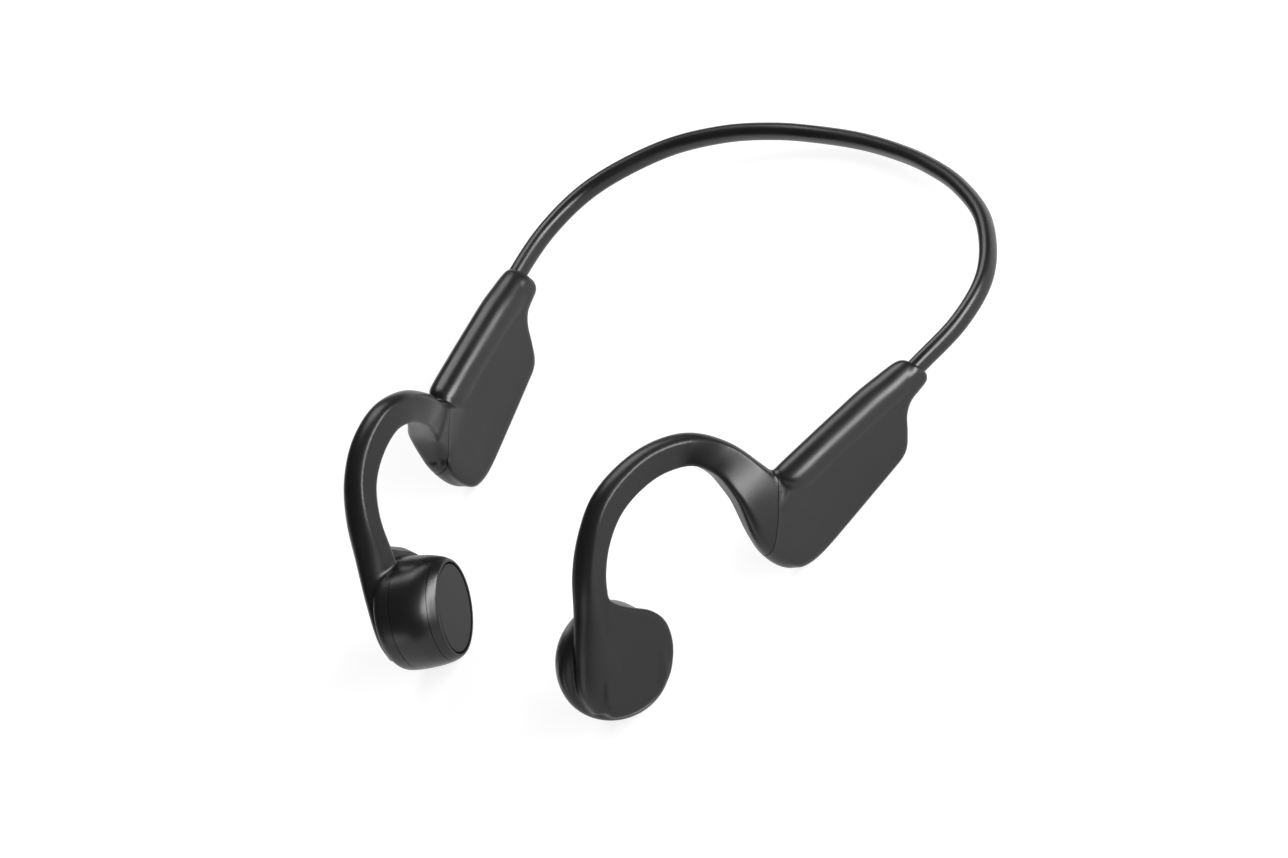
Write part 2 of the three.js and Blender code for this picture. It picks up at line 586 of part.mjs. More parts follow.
// The flap's upper end is a half round about its hinge, so it turns inside its recess.
function flapGeometry() {
  const radius = FLAP_THICKNESS / 2;
  const top = FLAP_LENGTH / 2 - radius;
  const profile = new THREE.Shape();
  profile.moveTo(-FLAP_LENGTH / 2, -radius);
  profile.lineTo(top, -radius);
  profile.absarc(top, 0, radius, -Math.PI / 2, Math.PI / 2);
  profile.lineTo(-FLAP_LENGTH / 2, radius);
  const geometry = extrude(profile, -FLAP_WIDTH / 2, FLAP_WIDTH / 2, 4);
  geometry.applyMatrix4(new THREE.Matrix4().set(0, 0, 1, 0, 1, 0, 0, 0, 0, 1, 0, -radius, 0, 0, 0, 1));
  return placeInScoop(geometry);
}

function scoopCuts() {
  const recess = roundedOutline(FLAP_WIDTH + 2 * GAP, FLAP_LENGTH + 2 * GAP, 0.4);
  const way = roundedOutline(SOCKET_WIDTH + 2 * GAP, SOCKET_LENGTH + 2 * GAP, 1.6);
  return [extrude(recess, -FLAP_THICKNESS - GAP, 6), extrude(way, -SOCKET_DEPTH - 2.2, 2)]
    .map((geometry) => toSolid(fromPodAxes(placeInScoop(geometry))));
}

function screwGeometry(place, level) {
  const geometry = spun(SCREW_PROFILE, 8);
  geometry.rotateZ(Math.PI / 2);
  geometry.translate(SCREW_START, place, level);
  return bareCopy(geometry);
}

function screwHole(place, level) {
  const hole = new THREE.CylinderGeometry(SCREW_HOLE_RADIUS, SCREW_HOLE_RADIUS, 4, 8);
  hole.rotateZ(Math.PI / 2);
  hole.translate((BOARD.across[0] + BOARD.across[1]) / 2, place, level);
  return toSolid(hole);
}

const arm = armPieces();
const controlCover = controlHoles().reduce((cover, hole) => cover.subtract(hole), arm.cover);
const socketShell = scoopCuts().reduce((shell, cut) => shell.subtract(cut), arm.shell);
const SIDES = [
  { side: 'left', place: (geometry) => geometry, shell: arm.shell, cover: arm.cover },
  { side: 'right', place: mirrorAcrossX, shell: socketShell, cover: controlCover },
];
for (const { side, place, shell, cover } of SIDES) {
  addMesh(`${side}_band_sleeve`, place(arm.bandSleeve), 'silicone');
  addMesh(`${side}_band_wire`, place(arm.bandWire), 'wire');
  addMesh(`${side}_band_lead`, place(arm.bandLead), 'lead');
  addMesh(`${side}_pod_shell`, place(toGeometry(shell)), 'satin');
  addMesh(`${side}_underside_cover`, place(toGeometry(cover)), 'satin');
  addMesh(`${side}_ear_hook`, place(arm.hook), 'silicone');
  addMesh(`${side}_hook_wire`, place(arm.hookWire), 'wire');
  addMesh(`${side}_hook_lead`, place(arm.hookLead), 'lead');
  addMesh(`${side}_transducer_case`, place(arm.case), 'gloss');
  addMesh(`${side}_transducer_bezel`, place(arm.bezel), 'gloss');
  addMesh(`${side}_contact_pad`, place(arm.pad), 'pad');
  addMesh(`${side}_drive_plate`, place(arm.drivePlate), 'steel');
  addMesh(`${side}_voice_coil`, place(arm.coil), 'copper');
  addMesh(`${side}_leaf_spring`, place(arm.leafSpring), 'steel');
  addMesh(`${side}_magnet_yoke`, place(arm.yoke), 'steel');
  addMesh(`${side}_magnet`, place(arm.magnet), 'magnet');
  addMesh(`${side}_pole_plate`, place(arm.polePlate), 'steel');
}

// Left pod: the battery and its protection circuit.
const cellOutline = roundedOutline(BATTERY.width, BATTERY.height, BATTERY.corner);
const cell = extrude(cellOutline, -BATTERY.halfLength, BATTERY.halfLength);
cell.rotateX(Math.PI / 2);
cell.translate(0, BATTERY.middle, BATTERY.level);
addMesh('battery_cell', cell, 'foil', podGroups.left);
addMesh('battery_circuit', block(BATTERY_CIRCUIT), 'board', podGroups.left);

// Right pod: board, radio module, switches, keys, microphone, light guide, charging socket and its flap.
const boardHoles = SCREW_PLACES.map((place) => screwHole(...place));
const mainBoard = boardHoles.reduce((board, hole) => board.subtract(hole), toSolid(block(BOARD)));
addMesh('main_board', toGeometry(mainBoard), 'board', podGroups.right);
addMesh('wireless_module', block(RADIO_MODULE), 'foil', podGroups.right);
SCREW_PLACES.forEach(([place, level], index) => {
  addMesh(`board_screw_${index + 1}`, screwGeometry(place, level), 'steel', podGroups.right);
});
function switchGeometry(place) {
  const base = KEY_LIP_BASE + KEY_LIP_THICKNESS + KEY_TRAVEL + 0.1;
  return block({
    across: [-SWITCH.halfAcross, SWITCH.halfAcross],
    along: [place - SWITCH.halfAlong, place + SWITCH.halfAlong],
    up: [base, base + SWITCH.height],
  });
}

function pillar(place, low, high, radius, count) {
  return uprightOval(place, [[low, radius, radius], [high, radius, radius]], count);
}

for (const [name, place] of KEY_PLACES) {
  addMesh(`${name}_key`, keyGeometry(place), 'satin', podGroups.right);
  addMesh(`${name}_switch`, switchGeometry(place), 'chip', podGroups.right);
}
addMesh('microphone', pillar(MICROPHONE_PLACE, 1.9, 3.1, MICROPHONE_RADIUS, 12), 'steel', podGroups.right);
addMesh('light_guide', pillar(LIGHT_PLACE, 0.2, 3.6, LIGHT_RADIUS, 8), 'light', podGroups.right);
addMesh('charge_socket', socketGeometry(), 'foil', podGroups.right);
addMesh('socket_flap', flapGeometry(), 'silicone', podGroups.right);

export default headphones;
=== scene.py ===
"""Looks of the bone conduction headphones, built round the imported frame.

Shapes are worked out in millimetres on the wearer's left side, with Y counted from the design's own zero,
and are mirrored for the right side. Every finished piece is in metres in the frame.
"""
import json
import math

import bmesh
import bpy
from mathutils import Matrix, Vector


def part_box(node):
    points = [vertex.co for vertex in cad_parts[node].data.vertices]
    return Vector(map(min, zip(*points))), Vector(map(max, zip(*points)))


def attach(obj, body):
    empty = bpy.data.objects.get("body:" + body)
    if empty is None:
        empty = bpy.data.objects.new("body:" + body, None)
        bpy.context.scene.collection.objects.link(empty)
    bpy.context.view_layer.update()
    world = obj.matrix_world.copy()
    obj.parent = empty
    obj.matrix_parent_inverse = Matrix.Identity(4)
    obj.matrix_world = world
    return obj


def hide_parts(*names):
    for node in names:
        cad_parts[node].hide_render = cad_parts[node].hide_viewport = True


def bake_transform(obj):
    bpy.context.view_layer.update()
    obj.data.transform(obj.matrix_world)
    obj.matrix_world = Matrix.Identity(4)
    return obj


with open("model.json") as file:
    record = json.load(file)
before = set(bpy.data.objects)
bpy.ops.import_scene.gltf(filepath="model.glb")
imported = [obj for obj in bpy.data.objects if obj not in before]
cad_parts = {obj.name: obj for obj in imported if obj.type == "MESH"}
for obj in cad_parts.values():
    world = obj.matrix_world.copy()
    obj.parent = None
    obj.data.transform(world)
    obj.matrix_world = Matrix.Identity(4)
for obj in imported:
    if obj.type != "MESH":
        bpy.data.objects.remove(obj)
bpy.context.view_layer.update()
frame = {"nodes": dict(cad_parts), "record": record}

MM = 0.001
X = Vector((1, 0, 0))
Y = Vector((0, 1, 0))
Z = Vector((0, 0, 1))

# ---------------------------------------------------------------- sizes, in millimetres
GAP = 0.15  # fine gap between shells

BAND_HALF_HEIGHT = 2.35
BAND_HALF_WIDTH = 2.05
BAND_POINTS = [
    (76.9, -16, 14.4), (80.6, -0.6, 13.4), (82.8, 15, 11.1), (79.3, 28.8, 9.2), (65.2, 43.6, 7.4),
    (47.8, 51.9, 6.5), (30.1, 56.3, 5.6), (14.3, 58.5, 4.4), (0, 59.2, 4.1),
]
BAND_START_Y = -4.0  # the band starts inside the pod's tail
BAND_STEPS = 12  # rings from one point to the next
BAND_POWER = 2.15  # a little squarer than an oval
HINGE = Vector((73.91, 35.93, 8.31))  # the band's flex point
BEND_HALF = 10.0  # a length along the band to each side of its flex point

BAND_BACK = BAND_POINTS[-1][1] + BAND_HALF_WIDTH
BACK_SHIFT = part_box("band_back_sleeve")[1].y / MM - BAND_BACK  # Y from the design's zero to the frame's
TO_FRAME = Matrix.Scale(MM, 4) @ Matrix.Translation((0, BACK_SHIFT, 0))

POD_TOE_OUT = 0.244
POD_MIDDLE_X = 79.27
POD_SIDE = Vector((1, -POD_TOE_OUT, 0)).normalized()
CHEEK_INSET = 0.45  # the cheeks lie this far inside the ridge's round
CHEEK_FADE = (-57, 10)  # Y where that begins, and the length over which it grows to its full depth
SLAB_BELOW_RIDGE = 0.6  # the slab stops this far below the ridge, which the bead rounds off
POD_STATIONS = [  # Y, underside, ridge, half thickness
    (-56.0, 8.6, 12.3, 2.6), (-55.4, 5.4, 14.8, 4.0), (-53.8, 2.5, 17.3, 4.7), (-51.2, 1.1, 19.5, 4.9),
    (-48.0, 0.3, 21.5, 4.9), (-43.4, 0, 22.6, 4.9), (-38, 0, 23.4, 4.95), (-30, 0, 22.5, 5),
    (-19.5, 0, 20.9, 5),
    (-16.6, 0.9, 20.4, 5), (-13.4, 4, 19.8, 5), (-10.6, 7.2, 19.1, 5), (-7.6, 8.9, 18.4, 5),
    (-1.4, 9.4, 16.9, 5), (-0.2, 10.2, 16.1, 4.2),
]
KEEL_RADIUS = 2.4
RIDGE_RADIUS = 4.95
RIDGE_STATIONS = [  # Y, top of the ridge, radius
    (-42.1, 22.4, 1.2), (-41.9, 23.2, 2.4), (-41.3, 23.9, 3.7), (-40.2, 24.2, 4.6),
    (-38.5, 24.1, RIDGE_RADIUS),
    (-30, 22.9, RIDGE_RADIUS), (-19.5, 21.25, RIDGE_RADIUS), (-12, 20.0, RIDGE_RADIUS), (-7.6, 18.9, 4.9),
    (-1.8, 17.3, 4.2), (-0.7, 16.6, 3.7), (-0.1, 15.6, 2.8),
]
WALL = 1.3
CAVITY_ENDS = (-50, -9)  # Y
CAVITY_STEP_Y = -42  # the roof of the cavity is thicker in front of this
CAVITY_ROOF = 3.12
CAVITY_CORNER = 1.0
COVER_TOP = 1.45
COVER_FRONT_Y = -48.4
POD_ROOM = (40, 100)  # X on each side of a pod
SEAM_NOTCH = Vector((0, -41.2, 23.9))
SEAM_FRONT = Vector((0, -57.5, 11.5))

HOOK_STATIONS = [  # X, Y, Z, half depth, half thickness, shoulder height, inner corner radius
    (67.8, -47.0, 2.8, 6.4, 3.6, 0.8, 3.4), (67.68, -47.5, 6.0, 8.4, 4.3, 0.8, 4.1),
    (67.56, -48.0, 11.0, 9.0, 4.42, 0.8, 4.2), (67.62, -47.7, 16.0, 8.3, 4.42, 0.8, 3.4),
    (64.8, -46.8, 24.8, 5.6, 4.3, 0.7, 1.6), (59.6, -46.5, 31.2, 4.4, 3.9, 0.66, 1.0),
    (54.6, -48.0, 37.0, 3.9, 3.4, 0.64, 0.9), (51.4, -52.9, 42.8, 3.8, 3.15, 0.62, 0.9),
    (49.7, -60, 46.4, 3.75, 3.2, 0.6, 0.9), (48.6, -68.6, 47.0, 3.7, 3.4, 0.52, 0.9),
    (47.6, -77, 44.1, 3.4, 3.65, 0.42, 1.0), (46.1, -84.2, 38.5, 3.4, 4.05, 0.32, 1.1),
    (44.6, -90.3, 30.8, 4.1, 4.4, 0.05, 1.4), (42.9, -96.7, 22.1, 5.2, 4.75, -0.2, 2.0),
    (41.4, -101.9, 14.5, 5.4, 4.9, -0.3, 2.4), (41.0, -104.6, 9.6, 3.6, 4.4, -0.2, 2.4),
]
RISE_SWAY = {  # station: the bend back and up on the left, and as far the other way on the right
    4: Vector((0, 1.5, 1.3)), 5: Vector((0, 2.6, 2.2)), 6: Vector((0, 2.3, 1.9)), 7: Vector((0, 1.0, 0.8)),
}
HOOK_STEPS = 10  # rings from one station to the next
SHOULDER_ANGLE = 24.0  # degrees: how steeply the crown leaves the hook's flat sides
ROOT_TWIST = (3, 6)  # between these stations the hook's flat sides turn from the pod's cheeks to straight
SHIELD_TWIST = (10, 13)  # ahead, and between these two back again, to lie level with the shield
HOOK_WIRE_RADIUS = 0.45
HOOK_WIRE_OFFSET = 0.75
HOOK_WIRE_STATIONS = (3, 13)

SHIELD_OFFSET = 71.3  # X of the shield's outer face where Y is zero; it is parallel to the pod's cheek
SHIELD_EDGE_ROWS = (  # depth from the outer face, and how far inside the outline
    (0, 1.4), (0.12, 0.75), (0.45, 0.3), (1.0, 0.05), (1.4, 0), (6.0, 0.6),
)
SHIELD_OUTLINE = [  # Y and Z round the transducer's outer face
    (-85.6, 34.0), (-85.8, 31.0), (-84.9, 27.8), (-83.1, 23.9), (-81.2, 20.1), (-80.7, 15.5), (-82.3, 11.0),
    (-85.5, 6.8), (-90.6, 3.3), (-97.3, 2.7), (-102.7, 4.8), (-106.4, 8.8), (-104.4, 13.8), (-97.4, 21.8),
    (-90.4, 29.6),
]

BARREL_FACE = Vector((30.4, -89.9, 11.85))
BARREL_YAW = math.radians(26)
BARREL_PITCH = math.radians(-12)
BARREL_TILT = math.radians(50)  # the ovals' long axis leans back from upright, in line with the hook
BARREL_PROFILE = [  # depth from the pad face, half width, half height along the leaning axis
    (-16, 11.8, 11.6), (-15.7, 12.8, 12.6), (-14.4, 13.7, 13.7), (-11.8, 13.9, 14.0), (-6, 13.0, 13.7),
    (-3.6, 12.0, 13.3), (-2, 10.9, 12.9), (-0.8, 9.8, 12.4), (-0.15, 9.15, 11.95), (0, 8.9, 11.75),
]
CASE_BACK = -10.9
CASE_FRONT = -2.0
BEZEL_BACK = -1.88
PAD_HALF_WIDTH = 8.0
PAD_HALF_HEIGHT = 10.95
PAD_THICKNESS = 1.45
PAD_GAP = 0.38
MOTOR_BORE_RADIUS = 8.4
MOTOR_BORE_HOOK = -12.6  # depth of the bore's end in the hook
BORE_CLEAR = 3.0  # cutters run past a surface by this much

KEY_HALF_WIDTH = 1.7
KEY_HALF_LENGTH = 3
KEY_RECESS = 0.25
KEY_TOP = 2.25
KEY_LIP = 0.6
KEY_LIP_BASE = 1.75
KEY_CLEARANCE = 0.2
KEY_PLACES = [("power", -43.2), ("volume_up", -33.9), ("volume_down", -26.2)]
LIGHT_PLACE = -38.5
LIGHT_RADIUS = 0.75
MICROPHONE_PLACE = -20.2
MICROPHONE_RADIUS = 0.45
HOLE_ENDS = (-2, 3)  # Z of the cutters' ends

SOCKET_PLACE = (-12.85, 5.25)
SOCKET_ANGLE = math.radians(45.5)
FLAP_LENGTH = 10.2
FLAP_WIDTH = 4.6
FLAP_THICKNESS = 1
SOCKET_WIDTH = 3.2
SOCKET_LENGTH = 8.9
SOCKET_CLEARANCE = 0.4

REMESH_SIZE = 0.27
SEGMENTS = 72
HOLLOW = 0.008  # a vertex this far below its neighbours' middle lies in a hollow corner
HOLLOW_SPREAD = 5  # rows of vertices added round each hollow


# ---------------------------------------------------------------- curves and rings
def through(stations, steps):
    """Rows of numbers on one smooth run through the stations, with this many steps between each two."""
    rows = [Vector(station) for station in stations]
    rows = [2 * rows[0] - rows[1]] + rows + [2 * rows[-1] - rows[-2]]
    run = []
    for before, start, end, after in zip(rows, rows[1:], rows[2:], rows[3:]):
        gap_1, gap_2, gap_3 = [
            math.dist(a[:3], b[:3]) ** 0.5 for a, b in ((before, start), (start, end), (end, after))
        ]
        leave = (start - before) / gap_1 - (end - before) / (gap_1 + gap_2) + (end - start) / gap_2
        arrive = (end - start) / gap_2 - (after - start) / (gap_2 + gap_3) + (after - end) / gap_3
        for step in range(steps):
            t = step / steps
            run.append(
                start * (2 * t**3 - 3 * t**2 + 1) + leave * gap_2 * (t**3 - 2 * t**2 + t)
                + end * (3 * t**2 - 2 * t**3) + arrive * gap_2 * (t**3 - t**2)
            )
    run.append(rows[-2])
    return run


def oval(half_across, half_over, segments=SEGMENTS, power=2.0):
    """Points round an oval, as (across, over)."""
    def shape(value):
        return math.copysign(abs(value) ** (2 / power), value)
    turns = [2 * math.pi * i / segments for i in range(segments)]
    return [(half_across * shape(math.sin(turn)), half_over * shape(math.cos(turn))) for turn in turns]


def arc(centre, radius, first, last, steps):
    """Points on an arc between two angles in degrees, both ends included."""
    turns = [math.radians(first + (last - first) * i / steps) for i in range(steps + 1)]
    return [(centre[0] + radius * math.cos(turn), centre[1] + radius * math.sin(turn)) for turn in turns]


def hook_section(half_thickness, half_depth, shoulder, corner):
    """A crowned outer face, two flat sides, and an inner face with rounded corners, as (across, over)."""
    first = math.radians(SHOULDER_ANGLE)
    level = shoulder * half_depth
    rise = (half_depth - level) / (1 - math.sin(first))
    corner = min(corner, 0.95 * half_thickness, 0.48 * (level + half_depth))
    points = []
    for step in range(25):
        turn = first + (math.pi - 2 * first) * step / 24
        across = half_thickness * math.cos(turn) / math.cos(first)
        points.append((across, level + rise * (math.sin(turn) - math.sin(first))))
    inner = -half_depth + corner
    for step in range(1, 6):
        points.append((-half_thickness, level + (inner - level) * step / 6))
    points += arc((corner - half_thickness, inner), corner, 180, 270, 8)
    points += [(0, -half_depth)]
    points += arc((half_thickness - corner, inner), corner, 270, 360, 8)
    for step in range(1, 6):
        points.append((half_thickness, inner + (level - inner) * step / 6))
    return points


def add_ring(bm, centre, across, over, outline):
    """A circle's vertices moved on to an outline in the plane of two directions."""
    verts = bmesh.ops.create_circle(bm, segments=len(outline), radius=1)["verts"]
    for vert, (sideways, upwards) in zip(verts, outline):
        vert.co = centre + across * sideways + over * upwards
    return [bm.edges.get((a, b)) for a, b in zip(verts, verts[1:] + verts[:1])]


def skin(bm, loops, closed=False):
    """Joins each ring to the next, and closes the row of rings at its ends or on itself."""
    for near, far in zip(loops, loops[1:]):
        bmesh.ops.bridge_loops(bm, edges=near + far)
    if closed:
        bmesh.ops.bridge_loops(bm, edges=loops[-1] + loops[0])
    else:
        bmesh.ops.contextual_create(bm, geom=loops[0])
        bmesh.ops.contextual_create(bm, geom=loops[-1])


def directions(run, index, fixed):
    """The two directions square to a run at one of its rows: one near the fixed one, one square to both."""
    ahead = Vector(run[min(index + 1, len(run) - 1)][:3])
    behind = Vector(run[max(index - 1, 0)][:3])
    along = (ahead - behind).normalized()
    across = (fixed - along * fixed.dot(along)).normalized()
    return across, along.cross(across)


# ---------------------------------------------------------------- meshes and solids
def solid(bm, name="solid"):
    """An object with the closed mesh of a bmesh, its faces turned outwards."""
    bmesh.ops.recalc_face_normals(bm, faces=bm.faces)
    mesh = bpy.data.meshes.new(name)
    bm.to_mesh(mesh)
    bm.free()
    return link(mesh, name)


def link(mesh, name):
    obj = bpy.data.objects.new(name, mesh)
    bpy.context.scene.collection.objects.link(obj)
    return obj


def settle(obj):
    """Applies the object's modifiers."""
    bpy.context.view_layer.update()
    seen = obj.evaluated_get(bpy.context.evaluated_depsgraph_get())
    mesh = bpy.data.meshes.new_from_object(seen)
    obj.modifiers.clear()
    old = obj.data
    obj.data = mesh
    bpy.data.meshes.remove(old)
    return obj


def combine(obj, tool, operation):
    change = obj.modifiers.new("combine", "BOOLEAN")
    change.operation = operation
    change.solver = "MANIFOLD"
    change.object = tool
    settle(obj)
    return obj


def cut(obj, *tools):
    """Takes the tools away from the object, and uses them up."""
    for tool in tools:
        combine(obj, tool, "DIFFERENCE")
        bpy.data.objects.remove(tool)
    return obj


def keep_inside(obj, tool):
    combine(obj, tool, "INTERSECT")
    bpy.data.objects.remove(tool)
    return obj


def copy_of(obj):
    return link(obj.data.copy(), obj.name)


def block(low, high):
    bm = bmesh.new()
    bmesh.ops.create_cube(bm, size=1)
    low, high = Vector(low), Vector(high)
    bmesh.ops.scale(bm, verts=bm.verts, vec=high - low)
    bmesh.ops.translate(bm, verts=bm.verts, vec=(low + high) / 2)
    return solid(bm)


def block_above_seam(lift):
    """Everything in front of and above the seam between pod and hook, lifted by half a gap."""
    run = SEAM_FRONT - SEAM_NOTCH
    up = run.cross(X).normalized()
    if up.z < 0:
        up = -up
    middle = (SEAM_FRONT + SEAM_NOTCH) / 2
    bm = bmesh.new()
    bmesh.ops.create_cube(bm, size=200)
    bmesh.ops.translate(bm, verts=bm.verts, vec=(0, 0, 100 + lift))
    turn = Z.rotation_difference(up).to_matrix()
    bmesh.ops.rotate(bm, verts=bm.verts, cent=(0, 0, 0), matrix=turn)
    bmesh.ops.translate(bm, verts=bm.verts, vec=middle)
    return solid(bm)


def round_off(bm, edges, radius, steps):
    bmesh.ops.bevel(
        bm, geom=edges, offset=radius, offset_type="OFFSET", segments=steps, profile=0.5, affect="EDGES",
        material=-1,
    )


def rounded_slab(width, length, radius, low, high, edge=0.0):
    """A flat plate with round corners, and with its top edge rounded where an edge radius is given."""
    bm = bmesh.new()
    bmesh.ops.create_cube(bm, size=1)
    bmesh.ops.scale(bm, verts=bm.verts, vec=(width, length, high - low))
    bmesh.ops.translate(bm, verts=bm.verts, vec=(0, 0, (low + high) / 2))
    corners = [e for e in bm.edges if abs(e.verts[0].co.z - e.verts[1].co.z) > 1e-6]
    round_off(bm, corners, radius, 8)
    if edge:
        rim = [e for e in bm.edges if all(abs(v.co.z - high) < 1e-6 for v in e.verts)]
        round_off(bm, rim, edge, 4)
    return bm


# ---------------------------------------------------------------- band
def band_half():
    """The left half of the band, from the middle of the back into the pod's tail."""
    mirrored = [(-x, y, z) for x, y, z in BAND_POINTS[-2::-1]]
    run = through(BAND_POINTS + mirrored, BAND_STEPS)
    bm = bmesh.new()
    rings = []
    for index, row in enumerate(run):
        if row[1] < BAND_START_Y or index > BAND_STEPS * (len(BAND_POINTS) - 1):
            continue
        over, across = directions(run, index, Z)
        outline = oval(BAND_HALF_WIDTH, BAND_HALF_HEIGHT, 48, BAND_POWER)
        rings.append(add_ring(bm, row, across, over, outline))
    skin(bm, rings)
    return solid(bm)


# ---------------------------------------------------------------- pod and ear hook
def pod_middle(y):
    """X of the pod's middle plane at this Y."""
    return POD_MIDDLE_X + POD_TOE_OUT * y


def slab_section(low, high, half, keel):
    """Flat cheeks with a round top and small keel corners, as (across, up)."""
    top = min(half * 0.98, (high - low) * 0.48)
    keel = min(keel, half * 0.9, (high - low) * 0.4)
    return (
        arc((half - top, high - top), top, 0, 90, 10) + arc((top - half, high - top), top, 90, 180, 10)
        + arc((keel - half, low + keel), keel, 180, 270, 8)
        + arc((half - keel, low + keel), keel, 270, 360, 8)
    )


def add_pod(bm):
    """The pod's slab, and the round bead along its ridge."""
    loops = []
    for y, low, high, half in through(POD_STATIONS, 8):
        cheek = half - CHEEK_INSET * min(1, max(0, (y - CHEEK_FADE[0]) / CHEEK_FADE[1]))
        section = slab_section(max(low, 0), high - SLAB_BELOW_RIDGE, cheek, KEEL_RADIUS)
        loops.append(add_ring(bm, Vector((pod_middle(y), y, 0)), X, Z, section))
    skin(bm, loops)
    loops = []
    for y, top, radius in through(RIDGE_STATIONS, 8):
        centre = Vector((pod_middle(y), y, top - radius))
        loops.append(add_ring(bm, centre, X, Z, oval(radius, radius, 48)))
    skin(bm, loops)


def hook_run(sway):
    """The hook's rows from root to tip: place, four sizes, and the direction square to its flat sides."""
    rows = []
    for station, row in enumerate(HOOK_STATIONS):
        place = Vector(row[:3]) + sway * RISE_SWAY.get(station, Vector())
        leave = (station - ROOT_TWIST[0]) / (ROOT_TWIST[1] - ROOT_TWIST[0])
        arrive = (SHIELD_TWIST[1] - station) / (SHIELD_TWIST[1] - SHIELD_TWIST[0])
        side = POD_SIDE.lerp(X, max(0, min(1, leave, arrive)))
        rows.append((*place, *row[3:], *side))
    return through(rows, HOOK_STEPS)


def add_hook(bm, sway):
    """The hook's skin, one ring for each row of its run."""
    run = hook_run(sway)
    loops = []
    for index, row in enumerate(run):
        across, over = directions(run, index, Vector(row[7:]))
        section = hook_section(row[4], row[3], row[5], row[6])
        loops.append(add_ring(bm, Vector(row[:3]), across, over, section))
    skin(bm, loops)


def hook_core(sway, offset):
    """The spine wire or the lead inside a hook, this far above its middle line."""
    run = hook_run(sway)
    bm = bmesh.new()
    loops = []
    for index in range(HOOK_WIRE_STATIONS[0] * HOOK_STEPS, HOOK_WIRE_STATIONS[1] * HOOK_STEPS, 3):
        across, over = directions(run, index, Vector(run[index][7:]))
        centre = Vector(run[index][:3]) + over * offset
        loops.append(add_ring(bm, centre, across, over, oval(HOOK_WIRE_RADIUS, HOOK_WIRE_RADIUS, 12)))
    skin(bm, loops)
    return solid(bm)


def add_shield(bm):
    """The flat outer face of the transducer, as a plate with rounded edges."""
    outline = through([(y, z, 0) for y, z in SHIELD_OUTLINE + SHIELD_OUTLINE[:1]], 6)[:-1]
    middle = sum((Vector(p) for p in outline), Vector((0, 0, 0))) / len(outline)
    loops = []
    for inward, inset in SHIELD_EDGE_ROWS:
        ring = []
        for point in outline:
            offset = Vector(point) - middle
            offset *= 1 - inset / max(offset.length, 1)
            ring.append((middle.x + offset.x, middle.y + offset.y))
        plane = Vector((SHIELD_OFFSET - inward, 0, 0))
        loops.append(add_ring(bm, plane, Vector((POD_TOE_OUT, 1, 0)), Z, ring))
    skin(bm, loops)


PAD_NORMAL = Vector((
    -math.cos(BARREL_YAW) * math.cos(BARREL_PITCH), math.sin(BARREL_YAW) * math.cos(BARREL_PITCH),
    math.sin(BARREL_PITCH),
))
PAD_UP = Matrix.Rotation(BARREL_TILT, 3, PAD_NORMAL) @ (Z - PAD_NORMAL * Z.dot(PAD_NORMAL)).normalized()
PAD_SIDE = PAD_UP.cross(PAD_NORMAL)


def barrel_rings(bm, rows, segments=SEGMENTS):
    """Ovals square to the barrel's axis, from rows of depth, half width and half height."""
    return [
        add_ring(bm, BARREL_FACE + PAD_NORMAL * depth, PAD_SIDE, PAD_UP, oval(width, height, segments))
        for depth, width, height in rows
    ]


def barrel_rows(first, last, grow=0.0):
    """The barrel's rows between two depths, both ends included."""
    run = through(BARREL_PROFILE, 8)
    rows = [Vector(row) for row in run if first < row[0] < last]
    for depth in (first, last):
        for near, far in zip(run, run[1:]):
            if near[0] <= depth <= far[0]:
                rows.append(near.lerp(far, (depth - near[0]) / (far[0] - near[0])))
                break
    rows.sort(key=lambda row: row[0])
    return [(row[0], row[1] + grow, row[2] + grow) for row in rows]


def barrel_solid(rows):
    bm = bmesh.new()
    skin(bm, barrel_rings(bm, rows))
    return solid(bm)


def motor_bore(low, high):
    return barrel_solid([(end, MOTOR_BORE_RADIUS, MOTOR_BORE_RADIUS) for end in (low, high)])


def even_out(bm, verts, passes):
    for _ in range(passes):
        bmesh.ops.smooth_vert(bm, verts=verts, factor=0.5, use_axis_x=True, use_axis_y=True, use_axis_z=True)


def soften(obj, passes, hollow_passes):
    """Evens out the remeshed skin, and rounds off its hollow corners more than the rest."""
    bm = bmesh.new()
    bm.from_mesh(obj.data)
    even_out(bm, bm.verts, passes)
    bm.normal_update()
    hollow = set()
    for vert in bm.verts:
        near = [edge.other_vert(vert).co for edge in vert.link_edges]
        middle = sum(near, Vector()) / len(near)
        if (middle - vert.co).dot(vert.normal) > HOLLOW:
            hollow.add(vert)
    for _ in range(HOLLOW_SPREAD):
        hollow |= {edge.other_vert(vert) for vert in hollow for edge in vert.link_edges}
    even_out(bm, list(hollow), hollow_passes)
    even_out(bm, bm.verts, 3)
    bm.to_mesh(obj.data)
    bm.free()


def arm_skin(sway):
    """Pod, hook and the outer half of the transducer, as one smooth closed body."""
    bm = bmesh.new()
    add_pod(bm)
    add_hook(bm, sway)
    add_shield(bm)
    skin(bm, barrel_rings(bm, barrel_rows(BARREL_PROFILE[0][0], CASE_BACK + 0.5)))
    body = solid(bm, "arm")
    remesh = body.modifiers.new("remesh", "REMESH")
    remesh.mode = "VOXEL"
    remesh.voxel_size = REMESH_SIZE
    settle(body)
    soften(body, 4, 26)
    return body


